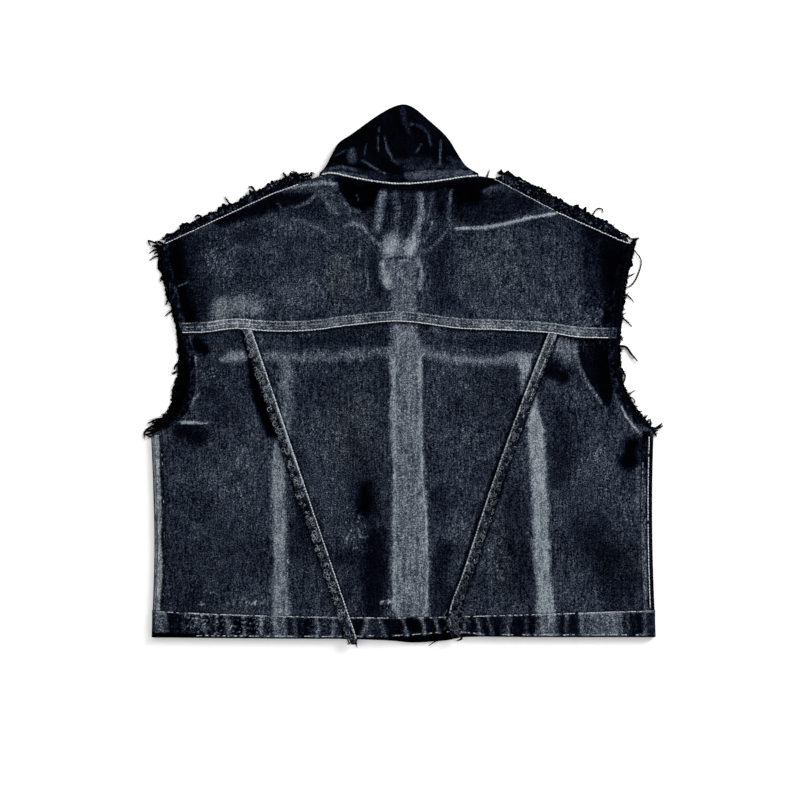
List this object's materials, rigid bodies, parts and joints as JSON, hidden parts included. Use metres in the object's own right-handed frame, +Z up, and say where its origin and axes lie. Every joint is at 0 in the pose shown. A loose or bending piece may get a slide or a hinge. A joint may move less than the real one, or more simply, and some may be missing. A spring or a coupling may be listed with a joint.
{
  "type": "cropped denim vest with raw edges and a raised collar, laid flat",
  "caption": "Cropped sleeveless denim vest laid flat on its front, with a yoke back, slanting raw-edged seams, a waistband, frayed armholes and a raised collar.",
  "frame": {"origin": "on the table under the placket, a little above the middle of the vest's length, on the flat underside it rests on", "axes": "+X to the right across the back as seen from above, +Y from the hem towards the collar, +Z up from the table"},
  "size_m": [0.5606, 0.5943, 0.0105],
  "materials": {
    "denim": "worn black indigo twill with pale grey-blue fades along folds and grain",
    "denim_front": "the same dark twill, less worn",
    "denim_collar": "near-black twill, doubled, with pale scuffs on its edges",
    "denim_seams": "felled and topstitched twill, worn pale on its ridges",
    "denim_raw": "raw seam allowance, dark, with a frayed outer edge",
    "loose_yarn": "loose cotton yarn ends, near black",
    "button_metal": "dulled dark shank button"
  },
  "bodies": {
    "root": {"back_yoke": "denim", "back_centre": "denim", "back_side_left": "denim", "back_side_right": "denim", "front_left": "denim_front", "front_right": "denim_front", "placket": "denim_front", "button_band": "denim_front", "waistband_front_left": "denim_front", "waistband_front_right": "denim_front", "collar_back": "denim_collar", "collar_stand": "denim_collar", "collar_front_left": "denim_collar", "collar_front_right": "denim_collar", "yoke_seam_band": "denim_seams", "side_seam_left": "denim_seams", "side_seam_right": "denim_seams", "waistband_back": "denim_seams", "raw_strip_left": "denim_raw", "raw_strip_right": "denim_raw", "raw_shoulder_left": "denim_raw", "raw_shoulder_right": "denim_raw", "fray_shoulder_left": "loose_yarn", "fray_shoulder_right": "loose_yarn", "fray_back_armhole_left": "loose_yarn", "fray_back_armhole_right": "loose_yarn", "fray_front_armhole_left": "loose_yarn", "fray_front_armhole_right": "loose_yarn", "fray_strip_left": "loose_yarn", "fray_strip_right": "loose_yarn", "button_1": "button_metal", "button_2": "button_metal", "button_3": "button_metal", "button_4": "button_metal", "button_5": "button_metal", "button_6": "button_metal"}
  },
  "joints": []
}
